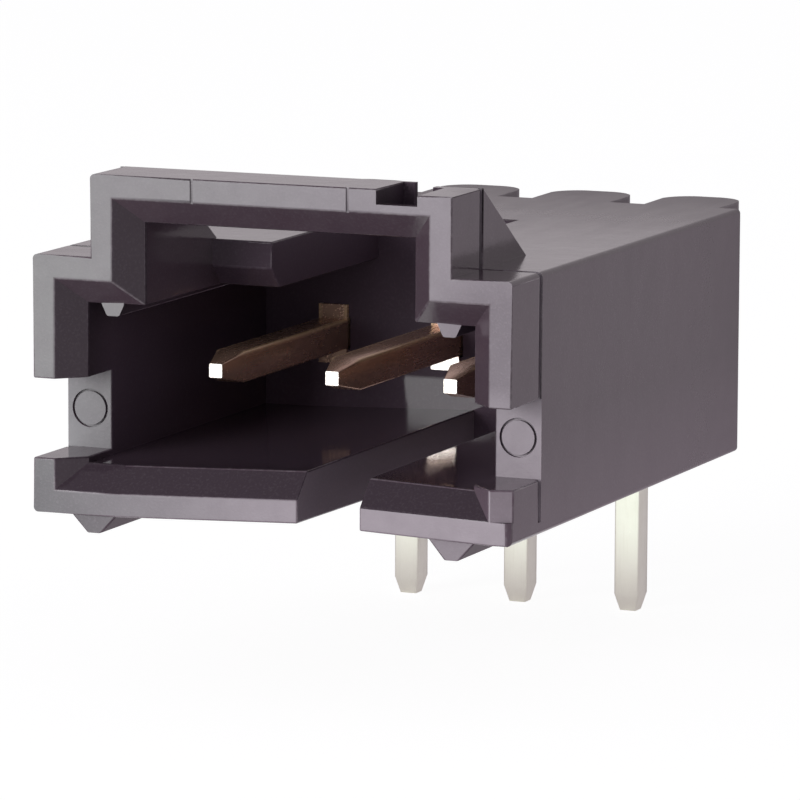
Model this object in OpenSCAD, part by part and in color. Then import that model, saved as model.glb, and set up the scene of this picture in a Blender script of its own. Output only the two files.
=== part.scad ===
// Shrouded right-angle board header with one row of three square posts.
// Lengths are in millimetres. The board's top face is z = 0, the middle tail
// stands on the z axis, and the mouth of the shroud faces -y.

/* [Contact posts] */
// Distance between neighbouring posts
pitch = 2.54; // [2.2:0.01:3.2]
// Side of the square wire
post_w = 0.64; // [0.5:0.01:0.8]
// Height of the post's axis above the underside of the housing
post_rise = 2.55; // [2.2:0.01:3]
// Free length of a post in front of the rear wall of the cavity
mate_len = 6; // [3:0.1:8]
// Side of the flat end of a mating tip
tip_w = 0.28; // [0.2:0.01:0.45]
// Length of the taper at a mating tip
tip_len = 0.75; // [0.3:0.05:1.5]
// Radius of the bend, at the middle of the wire
bend_r = 0.45; // [0.45:0.05:1.2]
// Straight wire between the rear face of the housing and the bend
bend_lead = 0.02; // [0.01:0.01:0.5]
// Length of a tail below the board's top face
tail_len = 3.29; // [2:0.01:5]
// Side of a tail below the board's top face
tail_w = 0.56; // [0.45:0.01:0.64]
// Length over which the wire narrows to the tail
neck_len = 0.2; // [0.1:0.05:0.3]
// Side of the flat end of a tail
tail_tip_w = 0.36; // [0.2:0.01:0.4]
// Length of the taper at the end of a tail
tail_tip_len = 0.36; // [0.2:0.02:0.8]
// Reach of the stop shoulders above and below a post
stop_h = 0.3; // [0.15:0.05:0.6]
// Length of the stop shoulders along the post
stop_len = 0.1; // [0.05:0.05:0.8]

/* [Housing] */
// From the axis of an outer post to the side of the housing
end_room = 2.54; // [2.3:0.01:3.5]
// Height of the housing from its underside to its shoulders
body_h = 5.14; // [4.6:0.02:6.5]
// Length of the housing from the mouth to its rear face
body_l = 12.85; // [11:0.05:16]
// Length of the cavity from the mouth to its rear wall
cavity_l = 9.1; // [7.5:0.1:9.6]
// Width of the flat rim round the mouth
rim = 0.46; // [0.35:0.01:0.6]
// Size of the lead-in bevel behind the rim
lead_in = 0.51; // [0.3:0.01:0.65]
// Radius of the long outer edges
edge_r = 0.1; // [0.05:0.01:0.2]
// Height of the standoff rails under the housing
foot_h = 0.36; // [0.2:0.02:0.8]
// Width of a standoff rail where it leaves the underside
foot_w = 0.98; // [0.7:0.02:1.4]
// Width of the flat on which a standoff rail rests
foot_flat = 0.3; // [0.2:0.02:0.6]
// From the side of the housing to the middle of a standoff rail
foot_inset = 1.27; // [0.9:0.01:1.6]
// From the mouth back to the front end of a standoff rail
foot_setback = 0.1; // [0.05:0.05:0.4]

/* [Guide ribs] */
// From the side of the housing to the middle of a guide rib under the ceiling
rib_inset = 1.5; // [1.35:0.01:1.6]
// Width of a guide rib at the ceiling
rib_w = 0.5; // [0.3:0.02:0.6]
// Width of a guide rib at its lower face
rib_tip_w = 0.26; // [0.15:0.02:0.4]
// Depth of a guide rib
rib_h = 0.25; // [0.1:0.01:0.4]

/* [Latch bridge] */
// Width of the raised bridge over the mouth
hat_w = 7.66; // [6.8:0.02:8.4]
// Height of the bridge above the shoulders
hat_h = 1.64; // [1.3:0.02:2.2]
// Length of the bridge, which is also the length of the collar round the mouth
hat_l = 1.5; // [1.2:0.05:2]
// Length of a sloped brace behind the bridge
brace_l = 2.39; // [1.5:0.01:3]
// Length of the latch window behind the bridge
window_l = 2.15; // [1.2:0.05:2.8]
// Width of the slot in the roof behind the window
roof_slot_w = 3.1; // [2:0.05:4]
// Lead-in under the front edge of the roof
roof_lead = 0.42; // [0.2:0.02:0.6]
// Width of the centre panel marked on the front of the bridge
panel_w = 3.3; // [2:0.05:4]

/* [Notches and marks] */
// Width of the key slot in the floor
key_w = 1.31; // [0.8:0.01:1.5]
// Height of a side notch
notch_h = 1.58; // [1:0.02:2]
// Height of a side notch's lower edge above the underside
notch_z = 1.09; // [1:0.01:1.5]
// Length of a side notch from the mouth
notch_l = 1.58; // [1:0.02:2.5]
// Width of the first-circuit notch in the bridge
mark_w = 0.86; // [0.5:0.02:1.2]
// From the right side of the bridge to the first-circuit notch
mark_inset = 0.72; // [0.4:0.02:1.2]
// Drop of the bridge's top on the right of that notch
mark_drop = 0.08; // [0.04:0.01:0.15]
// Height of the lip that is left in front of the first-circuit notch
mark_lip_h = 0.16; // [0.1:0.01:0.3]
// Thickness of that lip
mark_lip_t = 0.3; // [0.2:0.02:0.5]
// Depth of the first-circuit notch below the top of the bridge
mark_depth = 0.55; // [0.4:0.05:0.7]
// Thickness of the wall that closes that notch at the back
mark_back_t = 0.14; // [0.1:0.02:0.4]
// Width of that wall, beside which the notch is open at the back
mark_back_w = 0.26; // [0.15:0.01:0.4]
// Slant of the right side's lower rim, below its notch
stub_slant = 0.16; // [0.08:0.02:0.3]
// Bevel at the right end of the floor's lip
lip_bevel = 0.1; // [0.05:0.01:0.2]
// Diameter of the round ejector mark in a side notch
ejector_d = 0.78; // [0.5:0.02:0.9]
// Width of the fine groove round an ejector mark
ejector_ring = 0.05; // [0.03:0.01:0.1]
// Depth of that groove
ejector_depth = 0.08; // [0.03:0.01:0.15]
// Width of the fine groove behind the collar
groove_w = 0.14; // [0.08:0.01:0.2]
// Depth of that groove
groove_d = 0.08; // [0.04:0.01:0.12]
// From the underside to the lower end of that groove
groove_z = 0.26; // [0.1:0.02:0.6]
// Width of a witness line beside the centre panel
witness_w = 0.06; // [0.04:0.01:0.1]
// Depth of a witness line
witness_d = 0.03; // [0.02:0.01:0.06]

/* [Tail guides] */
// Length of the fins behind the rear face
fin_l = 1.75; // [1.2:0.05:3]
// Radius of a fin's rear corners, seen from above
fin_r = 0.7; // [0.2:0.05:0.8]
// From the side of the housing to the outer fin
fin_inset = 0.45; // [0.2:0.05:0.8]
// Gap on each side of a tail between the fins
tail_room = 0.05; // [0.03:0.01:0.15]
// Clearance on each side of a post in its hole
post_fit = 0.02; // [0.01:0.01:0.04]

/* [Hidden] */
$fn = 48;

positions = 3;
// Overshoot of a cut past the face that it opens
eps = 0.2;

function post_x(i) = (i - (positions - 1) / 2) * pitch;

wall = rim + lead_in;
half_w = post_x(positions - 1) + end_room;
hat_half = hat_w / 2;
channel_half = hat_half - wall;

y_rear = -(bend_r + bend_lead);
y_mouth = y_rear - body_l;
y_back = y_mouth + cavity_l;
y_hat = y_mouth + hat_l;
y_roof = y_hat + window_l;
y_fin = y_rear + fin_l;
y_tip = y_back - mate_len;

z_under = foot_h;
z_floor = z_under + wall;
z_shoulder = z_under + body_h;
z_ceiling = z_shoulder - wall;
z_hat = z_shoulder + hat_h;
z_post = z_under + post_rise;
z_notch = z_under + notch_z;

// The key slot lies midway between the middle post and the right one
key_x = post_x(positions - 1) - pitch / 2;
mark_x1 = hat_half - mark_inset;
mark_x0 = mark_x1 - mark_w;
tail_gap = post_w / 2 + tail_room;

housing_colour = [0.27, 0.25, 0.27];
post_colour = [0.78, 0.66, 0.42];

// Block between two limits on each axis
module span(xs, ys, zs)
    translate([xs[0], ys[0], zs[0]])
        cube([xs[1] - xs[0], ys[1] - ys[0], zs[1] - zs[0]]);

// Extrudes an x-z outline along y
module along_y(y0, y1)
    translate([0, y1, 0])
        rotate([90, 0, 0])
            linear_extrude(y1 - y0) children();

// Extrudes a y-z outline along x
module along_x(x0, x1)
    translate([x0, 0, 0])
        rotate([90, 0, 90])
            linear_extrude(x1 - x0) children();

// Copies a shape to the left side as well
module both_sides() {
    children();
    mirror([1, 0, 0]) children();
}

// Rectangle with round corners, all four or only the upper pair
module round_rect(x0, x1, z0, z1, r, lower = true) {
    z_low = lower ? z0 + r : z0;
    translate([x0 + r, z0]) square([x1 - x0 - 2 * r, z1 - z0]);
    translate([x0, z_low]) square([x1 - x0, z1 - r - z_low]);
    for (x = [x0 + r, x1 - r], z = lower ? [z0 + r, z1 - r] : [z1 - r])
        translate([x, z]) circle(r);
}

// Funnel behind the rim of a rectangular mouth, with mitred corners
module funnel(half, z0, z1) {
    y0 = y_mouth - eps;
    y1 = y_mouth + lead_in;
    intersection() {
        translate([0, 0, z0 - eps])
            linear_extrude(z1 - z0 + 2 * eps)
                polygon([[-half - eps, y0], [half + eps, y0], [half - lead_in, y1], [lead_in - half, y1]]);
        along_x(-half - eps, half + eps)
            polygon([[y0, z0 - eps], [y0, z1 + eps], [y1, z1 - lead_in], [y1, z0 + lead_in]]);
    }
}

// Square wire end that narrows from z = 0 upwards
module tapered_end(full, tip, len) {
    outline = [[-full / 2, 0], [full / 2, 0], [tip / 2, len], [-tip / 2, len]];
    intersection() {
        rotate([90, 0, 0]) linear_extrude(full, center = true) polygon(outline);
        rotate([90, 0, 90]) linear_extrude(full, center = true) polygon(outline);
    }
}

// Main block with the bridge over the mouth
module body_outline() {
    along_y(y_mouth, y_rear)
        round_rect(-half_w, half_w, z_under, z_shoulder, edge_r);
    along_y(y_mouth, y_hat)
        round_rect(-hat_half, hat_half, z_ceiling, z_hat, edge_r, lower = false);
}

// Sloped brace that carries a side of the bridge back to the roof
module brace()
    along_x(channel_half, hat_half)
        polygon([[y_hat - edge_r, z_ceiling], [y_hat + brace_l, z_ceiling], [y_hat + brace_l, z_shoulder],
                 [y_hat, z_hat], [y_hat - edge_r, z_hat]]);

// Standoff rail with sloped flanks
module standoff_rail()
    translate([half_w - foot_inset, 0, 0])
        along_y(y_mouth + foot_setback, y_rear)
            polygon([[-foot_w / 2, z_under], [-foot_flat / 2, 0], [foot_flat / 2, 0], [foot_w / 2, z_under],
                     [foot_w / 2, z_under + edge_r], [-foot_w / 2, z_under + edge_r]]);

// Fin between two tails, or outside the last one, with round rear corners
module fin(x0, x1) {
    r = min(fin_r, (x1 - x0) / 2 - edge_r);
    translate([0, 0, z_under])
        linear_extrude(body_h)
            round_rect(x0, x1, y_rear - wall, y_fin, r, lower = false);
}

module fins() {
    for (i = [0 : positions - 2])
        fin(post_x(i) + tail_gap, post_x(i + 1) - tail_gap);
    both_sides() fin(post_x(positions - 1) + tail_gap, half_w - fin_inset);
}

// Cavity, its funnel mouth, the latch channel and the slot in the roof
module cavity() {
    x_in = half_w - wall;
    funnel(half_w - rim, z_under + rim, z_shoulder - rim);
    funnel(hat_half - rim, z_under + rim, z_hat - rim);
    span([-x_in, x_in], [y_mouth - eps, y_back], [z_floor, z_ceiling]);
    span([-channel_half, channel_half], [y_mouth - eps, y_roof], [z_floor, z_hat - wall]);
    span([-channel_half, channel_half], [y_hat, y_roof], [z_floor, z_hat + eps]);
    span([-roof_slot_w / 2, roof_slot_w / 2], [y_hat, y_back], [z_floor, z_shoulder + eps]);
    along_x(-channel_half, channel_half)
        polygon([[y_roof - eps, z_ceiling - eps], [y_roof - eps, z_ceiling + roof_lead + eps],
                 [y_roof + roof_lead + eps, z_ceiling - eps]]);
}

// Guide rib under the ceiling of the cavity, behind the lead-in
module guide_rib()
    translate([half_w - rib_inset, 0, z_ceiling])
        along_y(y_mouth + lead_in, y_back + eps)
            polygon([[-rib_w / 2, 0], [-rib_tip_w / 2, -rib_h], [rib_tip_w / 2, -rib_h], [rib_w / 2, 0],
                     [rib_w / 2, eps], [-rib_w / 2, eps]]);

// Slot in the floor that keys the mating half
module key_slot()
    span([key_x - key_w / 2, key_x + key_w / 2], [y_mouth - eps, y_back], [z_under - eps, z_floor + eps]);

// Notch through a side wall, with the ejector mark in its rear face
module side_notch() {
    span([half_w - wall - eps, half_w + eps], [y_mouth - eps, y_mouth + notch_l], [z_notch, z_notch + notch_h]);
    translate([half_w - wall / 2, y_mouth + notch_l - eps, z_notch + notch_h / 2])
        rotate([-90, 0, 0])
            difference() {
                cylinder(h = ejector_depth + eps, d = ejector_d);
                cylinder(h = ejector_depth + 2 * eps, d = ejector_d - 2 * ejector_ring);
            }
}

// Pocket in the bridge above the first circuit, behind a low lip
module mark_notch() {
    y_close = y_hat - mark_back_t;
    span([mark_x0, mark_x1], [y_mouth - eps, y_close], [z_hat - rim + mark_lip_h, z_hat + eps]);
    span([mark_x0, mark_x1], [y_mouth + mark_lip_t, y_close], [z_hat - mark_depth, z_hat + eps]);
    span([mark_x0 + mark_back_w, channel_half], [y_close - eps, y_hat + eps], [z_hat - mark_depth, z_hat + eps]);
    span([channel_half, hat_half + eps], [y_mouth - eps, y_hat + eps], [z_hat - mark_drop, z_hat + eps]);
}

// Slanted cut on the rim of the right side wall, between the floor's lip and the side notch
module rim_slant()
    translate([half_w - rim, y_mouth, z_under + rim])
        linear_extrude(notch_z - rim + eps)
            polygon([[0, 0], [0, -eps], [2 * rim, -eps], [2 * rim, 2 * stub_slant]]);

// Bevel on the upright front edge at the right end of the floor's lip
module lip_end()
    translate([half_w, y_mouth, z_under - eps])
        linear_extrude(rim + eps)
            polygon([[eps, -eps], [eps, lip_bevel + eps], [-lip_bevel - eps, -eps]]);

// Fine groove behind the collar, on one side, its shoulder and the bridge
module collar_groove() {
    ys = [y_hat - groove_w / 2, y_hat + groove_w / 2];
    span([half_w - groove_d, half_w + eps], ys, [z_under + groove_z, z_shoulder + eps]);
    span([hat_half - groove_d, half_w + eps], ys, [z_shoulder - groove_d, z_shoulder + eps]);
    span([hat_half - groove_d, hat_half + eps], ys, [z_shoulder - groove_d, z_hat + eps]);
}

// Fine line beside the centre panel on the front of the bridge
module witness_line()
    span([(panel_w - witness_w) / 2, (panel_w + witness_w) / 2], [y_mouth - eps, y_mouth + witness_d],
         [z_hat - rim - eps, z_hat + eps]);

module post_hole(x) {
    reach = post_w / 2 + post_fit;
    span([x - reach, x + reach], [y_back - eps, y_rear + eps], [z_post - reach, z_post + reach]);
}

module housing()
    color(housing_colour)
        difference() {
            union() {
                body_outline();
                both_sides() brace();
                both_sides() standoff_rail();
                fins();
            }
            difference() {
                cavity();
                both_sides() guide_rib();
            }
            key_slot();
            both_sides() side_notch();
            mark_notch();
            rim_slant();
            lip_end();
            both_sides() collar_groove();
            both_sides() witness_line();
            for (i = [0 : positions - 1]) post_hole(post_x(i));
        }

// Square wire from its mating tip through the rear wall, bent down to its tail
module contact_post(x) {
    half = post_w / 2;
    tail_half = tail_w / 2;
    z_bend = z_post - bend_r;
    color(post_colour)
        translate([x, 0, 0]) {
            translate([0, y_tip + tip_len, z_post])
                rotate([90, 0, 0])
                    tapered_end(post_w, tip_w, tip_len);
            span([-half, half], [y_tip + tip_len, -bend_r], [z_post - half, z_post + half]);
            span([-half, half], [y_back - stop_len, y_back], [z_post - half - stop_h, z_post + half + stop_h]);
            translate([0, -bend_r, z_bend])
                rotate([0, 90, 0])
                    rotate([0, 0, 90])
                        rotate_extrude(angle = 90)
                            translate([bend_r - half, -half])
                                square(post_w);
            span([-half, half], [-half, half], [neck_len, z_bend]);
            translate([0, 0, neck_len])
                rotate([180, 0, 0])
                    tapered_end(post_w, tail_w, neck_len);
            span([-tail_half, tail_half], [-tail_half, tail_half], [tail_tip_len - tail_len, 0]);
            translate([0, 0, tail_tip_len - tail_len])
                rotate([180, 0, 0])
                    tapered_end(tail_w, tail_tip_w, tail_tip_len);
        }
}

module contact_post_1() { contact_post(post_x(0)); }
module contact_post_2() { contact_post(post_x(1)); }
module contact_post_3() { contact_post(post_x(2)); }

housing();
contact_post_1();
contact_post_2();
contact_post_3();
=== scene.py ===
"""A shrouded right-angle board header, with one row of square posts, on a pale studio floor."""

import math

import bmesh
import bpy
from mathutils import Matrix, Vector


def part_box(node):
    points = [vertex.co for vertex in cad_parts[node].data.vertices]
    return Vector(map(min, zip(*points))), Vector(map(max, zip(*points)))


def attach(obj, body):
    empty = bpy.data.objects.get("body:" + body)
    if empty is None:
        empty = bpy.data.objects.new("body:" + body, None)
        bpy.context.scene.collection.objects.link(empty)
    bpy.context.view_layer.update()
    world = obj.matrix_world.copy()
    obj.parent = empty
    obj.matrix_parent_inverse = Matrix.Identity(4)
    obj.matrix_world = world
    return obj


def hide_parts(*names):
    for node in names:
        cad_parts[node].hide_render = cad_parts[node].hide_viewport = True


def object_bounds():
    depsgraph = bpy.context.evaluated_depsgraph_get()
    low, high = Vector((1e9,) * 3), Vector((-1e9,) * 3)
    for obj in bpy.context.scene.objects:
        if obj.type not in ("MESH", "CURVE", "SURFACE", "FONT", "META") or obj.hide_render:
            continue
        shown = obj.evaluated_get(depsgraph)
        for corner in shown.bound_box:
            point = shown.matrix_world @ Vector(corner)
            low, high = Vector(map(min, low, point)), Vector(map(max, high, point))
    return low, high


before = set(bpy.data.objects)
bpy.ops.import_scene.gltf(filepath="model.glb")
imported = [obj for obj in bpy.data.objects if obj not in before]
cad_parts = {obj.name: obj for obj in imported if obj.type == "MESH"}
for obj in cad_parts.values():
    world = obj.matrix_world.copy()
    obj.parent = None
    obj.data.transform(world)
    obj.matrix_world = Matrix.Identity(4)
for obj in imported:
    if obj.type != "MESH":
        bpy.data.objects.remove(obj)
cad_low, cad_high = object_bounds()

MM = 0.001
NEAR = 0.05 * MM
FADE = 0.02 * MM

# Sizes of the moulded housing that its finish follows
RIM = 0.46 * MM
UNDERSIDE = 0.36 * MM
SHOULDER_HEIGHT = 5.5 * MM
LATCH_BRIDGE_HALF = 3.83 * MM
LATCH_BRIDGE_LENGTH = 1.5 * MM
LATCH_WINDOW_LENGTH = 2.15 * MM
SIDE_NOTCH_LENGTH = 1.58 * MM
SIDE_NOTCH_BASE = 1.45 * MM
SIDE_NOTCH_TOP = 3.03 * MM
CAVITY_LENGTH = 9.1 * MM
CAVITY_BASE = 0.83 * MM
FLOOR_TOP = 1.33 * MM
MARK_NOTCH = (2.2 * MM, 3.16 * MM)
MARK_NOTCH_DEPTH = 0.6 * MM
KEY_SLOT_LEFT = 0.615 * MM
KEY_SLOT_RIGHT = 1.925 * MM
POST_HOLE_REACH = 0.4 * MM

# Both halves of the floor have bowed upwards a little: where each bow starts, the edge of the key slot,
# and the rise there
BOWS = ((-3.3 * MM, KEY_SLOT_LEFT, 0.15 * MM), (4.62 * MM, KEY_SLOT_RIGHT, 0.1 * MM))

# The small radius of the moulding's edges, and which edges and faces take part in it
EDGE_ROUND = 0.035 * MM
EDGE_STEPS = 3
SHORTEST_ROUNDED_EDGE = 0.3 * MM
SMALLEST_ROUNDED_FACE = 0.05 * MM * MM
MERGE_DISTANCE = 1e-4 * MM
FLAT_ANGLE = math.radians(0.5)
ROUNDED_ANGLE = math.radians(30)
SHARP_ANGLE = math.radians(40)
FLAT_FACE_WEIGHT = 90

# Face attributes of the housing that its material reads
ZONES = ("end_face", "cavity_face", "dull_wall", "edge_band")

# Values that single faces of the housing take in them, from 0 to 1; the shares of the paler end-face colour
# carry painted light, the shades are painted shade
HALF_MATTE_AND_LIGHT = 0.45
SLOT_WALL_MATTE_AND_LIGHT = 0.7
CAVITY_SHADE = 0.7
LIP_SHADE = 0.9
ROOF_END_SHADE = 0.8
LEAD_IN_SHADE = 0.75
LEAD_IN_DULLNESS = 0.7
RAIL_SHADE = 0.3

# Heights between which the glossy foot of the cavity's rear wall fades out
POLISHED_TOP = (2.06 * MM, 2.14 * MM)

# Sizes of a contact post that its box in the frame doesn't give
POST_HEIGHT = 2.91 * MM
POST_PITCH = 2.54 * MM
WIRE_HALF = 0.32 * MM
WIRE_CORNER = 0.05 * MM
WIRE_MERGE_DISTANCE = 0.0005 * MM
CORNER_STEPS = 3
BEND_RADIUS = 0.45 * MM
BEND_STEPS = 10
MATING_TIP_SIDE = 0.28 * MM
MATING_TIP_LENGTH = 0.75 * MM
TAIL_SIDE = 0.56 * MM
NECK_LENGTH = 0.2 * MM
TAIL_TIP_SIDE = 0.36 * MM
TAIL_TIP_LENGTH = 0.36 * MM
STOP_LENGTH = 0.1 * MM
STOP_REACH = 0.3 * MM
FREE_LENGTH = 6.0 * MM
POSTS = ("contact_post_1", "contact_post_2", "contact_post_3")

# Where the plating changes behind the mouth, how far off its axis a wire's upper corners carry a painted
# highlight, and how far from the middle the painted glint on the foot of a stop fades out
PLATING_CHANGE = (11.0 * MM, 11.3 * MM)
HIGHLIGHT_CORNER = (0.22 * MM, 0.29 * MM)
STOP_GLINT = (0.5 * MM, 0.6 * MM)

# The photograph's camera: its frame is 800 pixels square
FRAME_PIXELS = 800
FOCAL_PIXELS = 6192
SENSOR = 36.0
CAMERA_AZIMUTH = math.radians(22.79)
CAMERA_ELEVATION = math.radians(8.63)
CAMERA_ROLL = math.radians(0.27)
CAMERA_DISTANCE = 124.7 * MM
CAMERA_AIM = Vector((0.644, -8.256, 2.249)) * MM

# Linear colours of the studio, and the strength of the floor's own glow
WHITE = (1.0, 1.0, 1.0, 1.0)
PAPER = (0.9, 0.9, 0.9, 1.0)
FLOOR_MIRRORED = (1.0, 0.85, 0.94, 1.0)
ROOM_MIRRORED = (0.64, 0.59, 0.615, 1.0)
ROOM_DIM = (0.22, 0.2, 0.22, 1.0)
LIGHT_LEVEL = (0.55, 0.54, 0.56, 1.0)
LIGHT_OVERHEAD = (0.2, 0.19, 0.21, 1.0)
FLOOR_GLOW = 1.26
FLOOR_HALF = 1.0

housing_low, housing_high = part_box("housing")
mouth_y = housing_low.y
rear_wall = mouth_y + CAVITY_LENGTH
cad_tip_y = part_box("contact_post_1")[0].y
stop_front = cad_tip_y + FREE_LENGTH - STOP_LENGTH


class Field:
    """One output of a node, usable in Python arithmetic."""

    def __init__(self, graph, socket):
        self.graph = graph
        self.socket = socket

    def other(self, name):
        """Another output of the same node."""
        return Field(self.graph, self.socket.node.outputs[name])

    def __add__(self, value):
        return self.graph.maths("ADD", self, value)

    def __radd__(self, value):
        return self.graph.maths("ADD", value, self)

    def __sub__(self, value):
        return self.graph.maths("SUBTRACT", self, value)

    def __rsub__(self, value):
        return self.graph.maths("SUBTRACT", value, self)

    def __mul__(self, value):
        return self.graph.maths("MULTIPLY", self, value)

    def __rmul__(self, value):
        return self.graph.maths("MULTIPLY", value, self)

    def __truediv__(self, value):
        return self.graph.maths("DIVIDE", self, value)

    def __abs__(self):
        return self.graph.maths("ABSOLUTE", self)


class Graph:
    """Adds nodes to one node tree."""

    def __init__(self, tree):
        self.tree = tree

    def node(self, kind, settings=None, inputs=None, out=0):
        """One node of this type: its settings come first, then the values or links of its sockets.

        The setting "items" is the number of values of an index switch. A list links all its fields to
        one socket.
        """
        made = self.tree.nodes.new(kind)
        for name, value in (settings or {}).items():
            if name == "items":
                while len(made.index_switch_items) < value:
                    made.index_switch_items.new()
            else:
                setattr(made, name, value)
        for name, value in (inputs or {}).items():
            for item in value if isinstance(value, list) else [value]:
                if isinstance(item, Field):
                    self.tree.links.new(item.socket, made.inputs[name])
                else:
                    made.inputs[name].default_value = item
        return Field(self, made.outputs[out]) if len(made.outputs) else made

    def maths(self, operation, first, second=0.0, clamp=False):
        settings = {"operation": operation, "use_clamp": clamp}
        return self.node("ShaderNodeMath", settings, {0: first, 1: second})

    def step(self, value, low, high):
        """0 below low, 1 above high, and a straight ramp between them."""
        return self.maths("MULTIPLY", value - low, 1.0 / (high - low), clamp=True)

    def larger(self, first, second):
        return self.maths("MAXIMUM", first, second)

    def noise(self, place, size, detail, roughness=0.5):
        """Noise from 0 to 1 whose patches are about this size."""
        inputs = {"Vector": place, "Scale": 1.0 / size, "Detail": detail, "Roughness": roughness}
        return self.node("ShaderNodeTexNoise", {}, inputs, out="Fac")

    def stretched(self, place, scale):
        return self.node("ShaderNodeMapping", {}, {"Vector": place, "Scale": scale})

    def blend(self, factor, first, second):
        """Mixes two colours."""
        settings = {"data_type": "RGBA", "clamp_factor": True}
        return self.node("ShaderNodeMix", settings, {0: factor, 6: first, 7: second}, out=2)

    def bump(self, height, depth, normal=None):
        inputs = {"Height": height, "Strength": 1.0, "Distance": depth}
        if normal:
            inputs["Normal"] = normal
        return self.node("ShaderNodeBump", {}, inputs)

    def rays(self):
        """1 for rays from the camera, and 1 for rays from a mirror-like surface or through a clear one."""
        camera = self.node("ShaderNodeLightPath", out="Is Camera Ray")
        return camera, self.larger(camera.other("Is Glossy Ray"), camera.other("Is Transmission Ray"))


def colour(red, green, blue):
    """A linear colour from display values of 0 to 255."""
    def linear(value):
        share = value / 255
        return share / 12.92 if share <= 0.04045 else ((share + 0.055) / 1.055) ** 2.4
    return linear(red), linear(green), linear(blue), 1.0


def new_material(name):
    """An empty material and the graph that fills it."""
    material = bpy.data.materials.new(name)
    material.use_nodes = True
    material.node_tree.nodes.clear()
    return material, Graph(material.node_tree)


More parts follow.
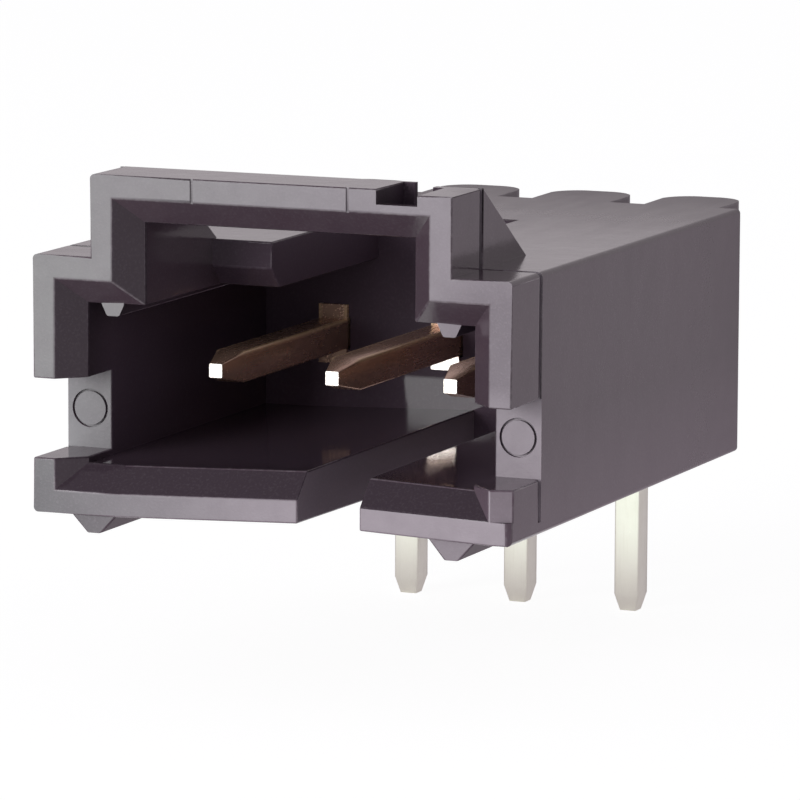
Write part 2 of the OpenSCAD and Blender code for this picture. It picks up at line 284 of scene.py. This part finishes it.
def moulded_plastic():
    """Charcoal plastic with a faint lilac cast: textured end faces paler partly by painted light, painted
    shade in the cavity, and pale scuffed edges.
    """
    material, graph = new_material("moulded charcoal plastic")
    place = graph.node("ShaderNodeTexCoord", out="Object")
    across = graph.node("ShaderNodeSeparateXYZ", {}, {0: place})
    along, height = across.other("Y"), across.other("Z")
    end_face, cavity, dull_wall, edge_band = (
        graph.node("ShaderNodeAttribute", {"attribute_name": name}, {}, out="Fac") for name in ZONES)

    cloud = graph.noise(place, 2.6 * MM, 3.0)
    flow = graph.noise(graph.stretched(place, (1.0, 0.22, 1.0)), 0.5 * MM, 3.0, 0.6)
    grain = graph.noise(place, 0.055 * MM, 2.0, 0.6)
    scuff = graph.step(graph.noise(place, 0.16 * MM, 3.0, 0.65), 0.42, 0.7)

    # Painted light: the outer skin is painted a little paler low down
    skin = graph.blend(cloud, colour(77, 66, 74), colour(87, 70, 80))
    low_side_light = 1 - graph.step(height, UNDERSIDE, SIDE_NOTCH_TOP - RIM)
    skin = graph.blend(low_side_light, skin, colour(112, 95, 107))

    # The end faces are paler for their textured finish and for painted light, and painted light shifts their
    # colour from left to right, above and below the side notches
    painted_light_drift = graph.step(across, housing_low.x, housing_high.x) * 0.7 + cloud * 0.3
    upper = graph.blend(painted_light_drift, colour(146, 147, 146), colour(152, 141, 151))
    # Painted shade: the right rim's end face is darker between the side notch and the shoulder
    right_rim_shade = graph.step(across, LATCH_BRIDGE_HALF - RIM, LATCH_BRIDGE_HALF + RIM)
    right_rim_shade = right_rim_shade * (1 - graph.step(height, SHOULDER_HEIGHT - RIM, SHOULDER_HEIGHT + RIM))
    right_rim_shade = right_rim_shade * graph.step(height, SIDE_NOTCH_TOP, SIDE_NOTCH_TOP + RIM)
    upper = graph.blend(right_rim_shade, upper, colour(128, 119, 127))
    painted_light_drift = graph.step(across, housing_low.x, KEY_SLOT_LEFT) * 0.9 + cloud * 0.1
    lower = graph.blend(painted_light_drift, colour(116, 116, 118), colour(170, 159, 168))
    # Painted light and shadow on the left side notch's rear face: lighter below, darker above
    notch_rear = mouth_y + SIDE_NOTCH_LENGTH
    left_notch_light_and_shadow = graph.step(along, notch_rear - 2 * NEAR, notch_rear - NEAR)
    left_notch_light_and_shadow = left_notch_light_and_shadow * (1 - graph.step(across, housing_low.x, housing_low.x + 2 * RIM))
    lower = graph.blend(left_notch_light_and_shadow, lower, colour(168, 167, 170))
    upper = graph.blend(left_notch_light_and_shadow, upper, colour(120, 118, 121))
    matte_and_painted_light = graph.blend(graph.step(height, SIDE_NOTCH_BASE - RIM, SIDE_NOTCH_TOP + RIM), lower, upper)

    # Painted shade: the cavity's colour is darkest near its mouth
    deep = graph.step(along, mouth_y + RIM, notch_rear)
    far_inside = graph.blend(cloud, colour(78, 64, 77), colour(85, 69, 82))
    cavity_shade_colour = graph.blend(deep, colour(54, 43, 52), far_inside)

    # Shaded faces blend towards the painted shade colour of the cavity
    base = graph.blend(cavity, graph.blend(end_face, skin, matte_and_painted_light), cavity_shade_colour)
    base = graph.blend((flow - 0.5) * 0.4 * (1 - cavity) + 0.06, base, colour(100, 92, 99))
    base = graph.blend(graph.step(grain, 0.5, 0.8) * (0.06 + 0.2 * end_face), base, colour(168, 160, 167))
    base = graph.blend(edge_band * scuff * (0.4 - 0.3 * cavity), base, colour(150, 142, 149))

    rear = graph.step(along, mouth_y + LATCH_BRIDGE_LENGTH + LATCH_WINDOW_LENGTH, housing_high.y)
    roughness = 0.11 + 0.42 * end_face - 0.09 * cavity + 0.26 * rear * (1 - cavity)
    roughness = roughness + (0.1 * (flow - 0.5) + 0.06 * (grain - 0.5)) * (1 - cavity)
    waves = graph.bump(graph.noise(place, 1.1 * MM, 2.0) * (1 - 0.9 * cavity), 0.010 * MM)
    tooth = graph.bump(grain * (0.3 + 0.7 * end_face) * (1 - 0.9 * cavity), 0.006 * MM, waves)
    satin = graph.node("ShaderNodeBsdfPrincipled", {}, {
        "Base Color": base, "Roughness": roughness, "IOR": 1.5, "Normal": tooth})
    dull = graph.node("ShaderNodeBsdfPrincipled", {}, {
        "Base Color": base, "Roughness": roughness + 0.5, "IOR": 1.25, "Normal": tooth})

    # The foot of the cavity's rear wall mirrors more than its other walls
    polished = graph.step(along, rear_wall - 3 * FADE, rear_wall - 2 * FADE)
    polished = polished * graph.step(height, UNDERSIDE, FLOOR_TOP) * (1 - graph.step(height, *POLISHED_TOP))
    shader = graph.node("ShaderNodeMixShader", {}, {0: dull_wall * (1 - 0.65 * polished), 1: satin, 2: dull})
    graph.node("ShaderNodeOutputMaterial", {}, {"Surface": shader})
    return material


def plated_wire():
    """Drawn square wire: gold-coloured in the cavity, tin-coloured behind the housing."""
    material, graph = new_material("plated square wire")
    place = graph.node("ShaderNodeTexCoord", out="Object")
    x = graph.node("ShaderNodeSeparateXYZ", {}, {0: place})
    y, z = x.other("Y"), x.other("Z")
    tail = graph.step(y, mouth_y + PLATING_CHANGE[0], mouth_y + PLATING_CHANGE[1])

    along_post = graph.noise(graph.stretched(place, (1.0, 0.06, 1.0)), 0.05 * MM, 3.0, 0.6)
    along_tail = graph.noise(graph.stretched(place, (1.0, 1.0, 0.06)), 0.05 * MM, 3.0, 0.6)
    drawn = along_post * (1 - tail) + along_tail * tail
    tarnish = graph.noise(place, 0.6 * MM, 4.0, 0.6)

    # Painted glints: the bare ends of the mating tips and the foot of the middle stop are painted near white
    tip = 1 - graph.step(y, cad_tip_y + FADE / 2, cad_tip_y + FADE * 3 / 2)
    stop = graph.step(y, stop_front - FADE, stop_front)
    stop = stop * (1 - graph.step(y, stop_front, stop_front + NEAR))
    wire_base = POST_HEIGHT - WIRE_HALF
    stop_glint = stop * (1 - graph.step(z, wire_base - FADE, wire_base))
    stop_glint = stop_glint * (1 - graph.step(abs(x), *STOP_GLINT))
    painted_glint = graph.larger(tip, stop_glint)

    # Painted highlight: the upper corners of the mating length are painted pale tan and made less metallic
    pitches = x / POST_PITCH
    aside = abs(pitches - graph.maths("ROUND", pitches)) * POST_PITCH
    corner_highlight = graph.step(aside, *HIGHLIGHT_CORNER) * graph.step(z - POST_HEIGHT, *HIGHLIGHT_CORNER) * (1 - tail)

    gold = graph.blend(tarnish, colour(214, 178, 156), colour(196, 156, 134))
    tin = graph.blend(tarnish, colour(246, 250, 236), colour(232, 235, 219))
    base = graph.blend(corner_highlight * 0.8, graph.blend(tail, gold, tin), colour(226, 192, 152))
    base = graph.blend(painted_glint, base, colour(250, 243, 236))
    base = graph.blend(graph.step(drawn, 0.55, 0.85) * (0.25 - 0.15 * tail), base, colour(150, 132, 104))
    roughness = 0.26 + 0.14 * (drawn - 0.5) + 0.16 * (tarnish - 0.5) + 0.06 * tail
    lines = graph.bump(drawn, 0.003 * MM)
    shader = graph.node("ShaderNodeBsdfPrincipled", {}, {
        "Base Color": base, "Metallic": 0.7 + 0.3 * graph.larger(tail, painted_glint) - 0.45 * corner_highlight,
        "Roughness": roughness, "Normal": lines})
    graph.node("ShaderNodeOutputMaterial", {}, {"Surface": shader})
    return material


def pale_floor():
    """White where it is seen, with the object's shadow left on it."""
    material, graph = new_material("pale floor")
    paper = graph.node("ShaderNodeBsdfDiffuse", {}, {"Color": PAPER})
    camera, mirrored = graph.rays()
    place = graph.node("ShaderNodeTexCoord", out="Object")
    y = graph.node("ShaderNodeSeparateXYZ", {}, {0: place}, out="Y")
    in_front = graph.step(0 - y, 1.0 * MM, 4.0 * MM)
    tint = graph.blend(mirrored * (1 - in_front), WHITE, FLOOR_MIRRORED)
    glow = graph.node("ShaderNodeEmission", {}, {"Color": tint, "Strength": FLOOR_GLOW})
    shader = graph.node("ShaderNodeMixShader", {}, {
        0: camera * 0.72 + mirrored * (0.3 + 0.55 * in_front), 1: paper, 2: glow})
    graph.node("ShaderNodeOutputMaterial", {}, {"Surface": shader})
    return material


def plain_mesh(piece):
    """Replaces a piece's modifiers by the mesh that they make."""
    evaluated = piece.evaluated_get(bpy.context.evaluated_depsgraph_get())
    mesh = bpy.data.meshes.new_from_object(evaluated)
    piece.modifiers.clear()
    piece.data = mesh
    return piece


def add_piece(name, mesh):
    piece = bpy.data.objects.new(name, mesh)
    bpy.context.scene.collection.objects.link(piece)
    return piece


def zones_of(centre, normal):
    """How textured and lit by painted light, how much painted shade and how dull a face of the housing is, in
    the order of its first three zones.
    """
    depth = centre.y - mouth_y
    below_top = housing_high.z - centre.z
    across = abs(centre.x)
    roof_front = LATCH_BRIDGE_LENGTH + LATCH_WINDOW_LENGTH - 2 * NEAR
    in_mark = (MARK_NOTCH[0] < centre.x < MARK_NOTCH[1] and NEAR < below_top < MARK_NOTCH_DEPTH
               and 4 * NEAR < depth < LATCH_BRIDGE_LENGTH - NEAR)
    # End faces, and in part the front-facing faces behind them, take the paler textured colour, which is
    # partly painted light
    end_face = normal.y < -0.98 and depth < SIDE_NOTCH_LENGTH + 2 * NEAR and not in_mark
    half_matte_and_light = normal.y < -0.9 and not end_face and depth < roof_front
    in_shroud = across < housing_high.x - RIM and centre.z < SHOULDER_HEIGHT - RIM
    in_bridge = (across < LATCH_BRIDGE_HALF - RIM and depth < LATCH_BRIDGE_LENGTH
                 and centre.z < housing_high.z - RIM)
    inside = RIM < depth < CAVITY_LENGTH + 2 * NEAR and centre.z > CAVITY_BASE and (in_shroud or in_bridge)
    far_back = depth > 2 * LATCH_BRIDGE_LENGTH
    cavity = inside and not end_face and not half_matte_and_light and (far_back or normal.y > -0.5)
    dull_wall = in_mark or (cavity and abs(normal.z) < 0.5)
    # Painted shade: faces in the cavity and the mark notch take the cavity's darker colour
    shade = 1.0 if dull_wall else CAVITY_SHADE if cavity else 0.0

    on_lip_bevel = depth < RIM + 2 * NEAR and normal.z > 0.5 and centre.z < FLOOR_TOP
    on_roof_end = normal.y < -0.9 and roof_front < depth < roof_front + 4 * NEAR
    on_left_lead_in = -0.9 < normal.y < -0.4 and normal.x > 0.5 and centre.x < 0
    on_slot_wall = abs(centre.x - KEY_SLOT_LEFT) < NEAR and normal.x > 0.9 and centre.z < FLOOR_TOP
    # Painted shade on the lip bevels, the end of the roof and the left lead-ins
    if on_lip_bevel:
        shade = LIP_SHADE
    if on_roof_end:
        shade = ROOF_END_SHADE
    if on_left_lead_in:
        shade, dull_wall = LEAD_IN_SHADE, LEAD_IN_DULLNESS
    # Painted light: the key slot's left wall takes no shade and part of the paler end-face colour
    if on_slot_wall:
        shade, half_matte_and_light = 0.0, SLOT_WALL_MATTE_AND_LIGHT
    # Painted shade on the rails under the housing
    if centre.z < UNDERSIDE - FADE:
        shade, dull_wall = RAIL_SHADE, 1.0 - end_face
    return end_face + HALF_MATTE_AND_LIGHT * half_matte_and_light, shade, float(dull_wall)


def bow_floor(shape):
    """Lifts both halves of the floor towards the key slot."""
    near = 0.01 * MM
    low = SIDE_NOTCH_BASE + near
    for start, slot_edge, rise in BOWS:
        low_faces = [face for face in shape.faces if max(vert.co.z for vert in face.verts) < low]
        edges = {edge for face in low_faces for edge in face.edges}
        verts = {vert for face in low_faces for vert in face.verts}
        bmesh.ops.bisect_plane(shape, geom=[*low_faces, *edges, *verts], dist=MERGE_DISTANCE,
                               plane_co=(start, 0, 0), plane_no=(1, 0, 0))
        for vert in shape.verts:
            place = vert.co
            share = (place.x - start) / (slot_edge - start)
            free = place.y < rear_wall - near or place.z > FLOOR_TOP - near
            above_rail = UNDERSIDE - near < place.z < FLOOR_TOP + near
            if 0 < share < 1.01 and free and place.y < rear_wall + near and above_rail:
                place.z += rise * share


def mark_edges(shape):
    """Chooses the edges that get the moulding's radius, and keeps the other corners sharp."""
    weight = shape.edges.layers.float.new("bevel_weight_edge")
    for edge in shape.edges:
        if len(edge.link_faces) != 2 or edge.calc_face_angle() < ROUNDED_ANGLE:
            continue
        length = edge.calc_length()
        middle = (edge.verts[0].co + edge.verts[1].co) / 2
        at_post_hole = (abs(middle.z - POST_HEIGHT) < POST_HOLE_REACH and length < 2 * POST_HOLE_REACH
                        and middle.y > rear_wall + RIM)
        broad = min(face.calc_area() for face in edge.link_faces) > SMALLEST_ROUNDED_FACE
        if length > SHORTEST_ROUNDED_EDGE and edge.is_convex and broad and not at_post_hole:
            edge[weight] = 1.0
        else:
            edge.smooth = False


def moulded_housing(material):
    """The housing with the small radius that a moulding has on its longer convex edges."""
    mesh = bpy.data.meshes.new("moulded_housing")
    shape = bmesh.new()
    shape.from_mesh(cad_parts["housing"].data)
    bmesh.ops.remove_doubles(shape, verts=shape.verts, dist=MERGE_DISTANCE)
    bmesh.ops.dissolve_limit(shape, angle_limit=FLAT_ANGLE, verts=shape.verts, edges=shape.edges)
    mark_edges(shape)
    for face in shape.faces:
        face.smooth = True
    bow_floor(shape)
    shape.to_mesh(mesh)
    shape.free()

    # The second material slot only marks the rounded edges until their zone is written
    mesh.materials.append(material)
    mesh.materials.append(material)
    piece = add_piece("moulded_housing", mesh)
    rounding = piece.modifiers.new("edge rounding", "BEVEL")
    rounding.limit_method = "WEIGHT"
    rounding.width = EDGE_ROUND
    rounding.segments = EDGE_STEPS
    rounding.use_clamp_overlap = False
    rounding.material = 1
    plain_mesh(piece)
    piece.data.set_sharp_from_angle(angle=SHARP_ANGLE)
    for name in ZONES:
        piece.data.attributes.new(name, "FLOAT", "FACE")
    zones = [piece.data.attributes[name].data for name in ZONES]
    for face in piece.data.polygons:
        for zone, value in zip(zones, zones_of(face.center, face.normal) + (float(face.material_index),)):
            zone[face.index].value = value
        face.material_index = 0
    piece.data.materials.pop(index=1)

    shading = piece.modifiers.new("flat face shading", "WEIGHTED_NORMAL")
    shading.keep_sharp = True
    shading.weight = FLAT_FACE_WEIGHT
    return flat_faces(plain_mesh(piece))


def flat_faces(piece):
    """Gives each flat face its own normal at every corner, and leaves the rounded edges smooth."""
    mesh = piece.data
    rounded = [item.value for item in mesh.attributes["edge_band"].data]
    normals = [corner.vector.copy() for corner in mesh.corner_normals]
    for face in mesh.polygons:
        if rounded[face.index] < 0.5 and face.area > SMALLEST_ROUNDED_FACE:
            for corner in face.loop_indices:
                normals[corner] = face.normal.copy()
    mesh.normals_split_custom_set(normals)
    return piece


def post_tree(material):
    """Geometry nodes that sweep a square wire from its mating tip round the bend to its tail."""
    tree = bpy.data.node_groups.new("square_wire_post", "GeometryNodeTree")
    sizes = {}
    for name, kind in (("Mating Tip", "Vector"), ("Corner", "Vector"), ("Tail End", "Vector"),
                       ("Wire Side", "Float"), ("Wire Corner", "Float"), ("Bend Radius", "Float"),
                       ("Mating Tip Side", "Float"), ("Mating Tip Length", "Float"),
                       ("Neck Top", "Vector"), ("Neck Bottom", "Vector"), ("Tail Side", "Float"),
                       ("Tail Tip Side", "Float"), ("Tail Tip Length", "Float"),
                       ("Stop Centre", "Vector"), ("Stop Size", "Vector")):
        socket = tree.interface.new_socket(name, in_out="INPUT", socket_type="NodeSocket" + kind)
        sizes[name] = socket.identifier
    tree.interface.new_socket("Geometry", in_out="OUTPUT", socket_type="NodeSocketGeometry")
    graph = Graph(tree)
    size = graph.node("NodeGroupInput", out="Mating Tip")
    wire_side = size.other("Wire Side")
    index = graph.node("GeometryNodeInputIndex")

    def shifted(point, shift, amount):
        """A point moved by an amount along a direction."""
        length = graph.node("ShaderNodeVectorMath", {"operation": "SCALE"}, {0: shift, "Scale": amount})
        return graph.node("ShaderNodeVectorMath", {"operation": "ADD"}, {0: point, 1: length})

    def by_index(kind, values):
        """A value for each station along the wire."""
        settings = {"data_type": kind, "items": len(values)}
        return graph.node("GeometryNodeIndexSwitch", settings, {"Index": index, **dict(enumerate(values, 1))})

    tip_start = shifted(size, (0, 1, 0), size.other("Mating Tip Length"))
    tail_start = shifted(size.other("Tail End"), (0, 0, 1), size.other("Tail Tip Length"))
    stations = (size, tip_start, size.other("Corner"), size.other("Neck Top"), size.other("Neck Bottom"),
                tail_start, size.other("Tail End"))
    tip_share, tail_share, end_share = (
        size.other(name) / wire_side for name in ("Mating Tip Side", "Tail Side", "Tail Tip Side"))

    line = graph.node("GeometryNodeMeshLine", {}, {"Count": len(stations)})
    placed = graph.node("GeometryNodeSetPosition", {}, {
        "Geometry": line, "Position": by_index("VECTOR", stations)})
    route = graph.node("GeometryNodeMeshToCurve", {}, {"Mesh": placed})
    shares = by_index("FLOAT", (tip_share, 1.0, 1.0, 1.0, tail_share, tail_share, end_share))
    route = graph.node("GeometryNodeSetCurveRadius", {}, {"Curve": route, "Radius": shares})
    bends = by_index("FLOAT", (0.0, 0.0, size.other("Bend Radius"), 0.0, 0.0, 0.0, 0.0))
    route = graph.node("GeometryNodeFilletCurve", {"mode": "POLY"}, {
        "Curve": route, "Count": BEND_STEPS, "Radius": bends})
    square = graph.node("GeometryNodeCurvePrimitiveQuadrilateral", {}, {
        "Width": wire_side, "Height": wire_side})
    square = graph.node("GeometryNodeFilletCurve", {"mode": "POLY"}, {
        "Curve": square, "Count": CORNER_STEPS, "Radius": size.other("Wire Corner")})
    radius = graph.node("GeometryNodeInputRadius")
    wire = graph.node("GeometryNodeCurveToMesh", {}, {
        "Curve": route, "Profile Curve": square, "Fill Caps": True, "Scale": radius})
    wire = graph.node("GeometryNodeMergeByDistance", {}, {
        "Geometry": wire, "Distance": WIRE_MERGE_DISTANCE})
    stop = graph.node("GeometryNodeMeshCube", {}, {"Size": size.other("Stop Size")})
    stop = graph.node("GeometryNodeTransform", {}, {
        "Geometry": stop, "Translation": size.other("Stop Centre")})
    solid = graph.node("GeometryNodeMeshBoolean", {"operation": "UNION"}, {"Mesh 2": [wire, stop]})
    solid = graph.node("GeometryNodeMergeByDistance", {}, {
        "Geometry": solid, "Distance": WIRE_MERGE_DISTANCE})
    solid = graph.node("GeometryNodeRealizeInstances", {}, {"Geometry": solid})
    finished = graph.node("GeometryNodeSetMaterial", {}, {"Geometry": solid, "Material": material})
    graph.node("NodeGroupOutput", {}, {"Geometry": finished})
    return tree, sizes


def contact_post(node, tree, sizes):
    """One post in the place of its node in the frame."""
    low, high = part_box(node)
    side = high.x - low.x
    middle = (low.x + high.x) / 2
    height = high.z - side / 2 - STOP_REACH
    stop_back = low.y + FREE_LENGTH
    piece = add_piece("square_" + node, bpy.data.meshes.new("square_" + node))
    sweep = piece.modifiers.new("wire sweep", "NODES")
    sweep.node_group = tree
    values = {
        "Mating Tip": (middle, low.y, height), "Corner": (middle, 0.0, height),
        "Tail End": (middle, 0.0, low.z), "Wire Side": side, "Wire Corner": WIRE_CORNER,
        "Bend Radius": BEND_RADIUS,
        "Mating Tip Side": MATING_TIP_SIDE, "Mating Tip Length": MATING_TIP_LENGTH,
        "Neck Top": (middle, 0.0, NECK_LENGTH), "Neck Bottom": (middle, 0.0, 0.0), "Tail Side": TAIL_SIDE,
        "Tail Tip Side": TAIL_TIP_SIDE, "Tail Tip Length": TAIL_TIP_LENGTH,
        "Stop Centre": (middle, stop_back - STOP_LENGTH / 2, height),
        "Stop Size": (side, STOP_LENGTH, side + 2 * STOP_REACH)}
    for name, value in values.items():
        sweep[sizes[name]] = value
    return plain_mesh(piece)


def make_floor():
    """A wide flat floor under the tips of the tails."""
    half = FLOOR_HALF
    mesh = bpy.data.meshes.new("floor")
    corners = [(-half, -half), (half, -half), (half, half), (-half, half)]
    mesh.from_pydata([(x, y, cad_low.z) for x, y in corners], [], [(0, 1, 2, 3)])
    mesh.materials.append(pale_floor())
    floor = add_piece("floor", mesh)


def make_world():
    """A room that looks white, mirrors dimmer overhead and in front, and lights dull surfaces evenly."""
    world = bpy.data.worlds.new("studio")
    bpy.context.scene.world = world
    world.use_nodes = True
    world.node_tree.nodes.clear()
    graph = Graph(world.node_tree)
    camera, mirrored = graph.rays()
    direction = graph.node("ShaderNodeTexCoord", out="Generated")
    ahead = graph.node("ShaderNodeSeparateXYZ", {}, {0: direction}, out="Y")
    up = ahead.other("Z")
    dim = graph.larger(graph.step(up, 0.35, 0.9), graph.step(0 - ahead, -0.1, 0.5)) * (1 - camera)
    room = graph.blend(dim, graph.blend(camera, ROOM_MIRRORED, WHITE), ROOM_DIM)
    seen = graph.node("ShaderNodeBackground", {}, {"Color": room, "Strength": 1.0})
    sky = graph.blend(graph.step(up, 0.1, 0.9), LIGHT_LEVEL, LIGHT_OVERHEAD)
    light = graph.node("ShaderNodeBackground", {}, {"Color": sky, "Strength": 1.0})
    shader = graph.node("ShaderNodeMixShader", {}, {0: graph.larger(camera, mirrored), 1: light, 2: seen})
    graph.node("ShaderNodeOutputWorld", {}, {"Surface": shader})


def facing(back, distance, roll=0.0):
    """The place and turn of a lamp or camera that looks at the object from this direction."""
    turn = back.to_track_quat("Z", "Y").to_matrix().to_4x4() @ Matrix.Rotation(roll, 4, "Z")
    return Matrix.Translation(CAMERA_AIM + back * distance) @ turn


def add_softbox(name, direction, distance, width, height, level):
    """A rectangular lamp that faces the object, whose face has this brightness."""
    lamp = bpy.data.lights.new(name, "AREA")
    lamp.shape = "RECTANGLE"
    lamp.size = width
    lamp.size_y = height
    lamp.energy = level * math.pi * width * height
    holder = bpy.data.objects.new(name, lamp)
    holder.matrix_world = facing(Vector(direction).normalized(), distance)
    bpy.context.scene.collection.objects.link(holder)


def make_camera():
    """The camera at the photograph's angle."""
    lens = bpy.data.cameras.new("camera")
    lens.sensor_width = SENSOR
    lens.lens = SENSOR * FOCAL_PIXELS / FRAME_PIXELS
    lens.clip_start = 1.0 * MM
    lens.clip_end = 10.0
    camera = bpy.data.objects.new("camera", lens)
    level = math.cos(CAMERA_ELEVATION)
    back = Vector((math.sin(CAMERA_AZIMUTH) * level, -math.cos(CAMERA_AZIMUTH) * level,
                   math.sin(CAMERA_ELEVATION)))
    camera.matrix_world = facing(back, CAMERA_DISTANCE, CAMERA_ROLL)
    bpy.context.scene.collection.objects.link(camera)
    bpy.context.scene.camera = camera


make_camera()
make_world()
make_floor()
add_softbox("front softbox", direction=(-0.383, -0.911, 0.15), distance=300 * MM,
            width=160 * MM, height=140 * MM, level=8.0)

housing = moulded_housing(moulded_plastic())
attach(housing, "root")
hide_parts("housing")

tree, sizes = post_tree(plated_wire())
for node in POSTS:
    post = contact_post(node, tree, sizes)
    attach(post, "root")
    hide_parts(node)

bpy.context.scene.view_settings.view_transform = "Standard"
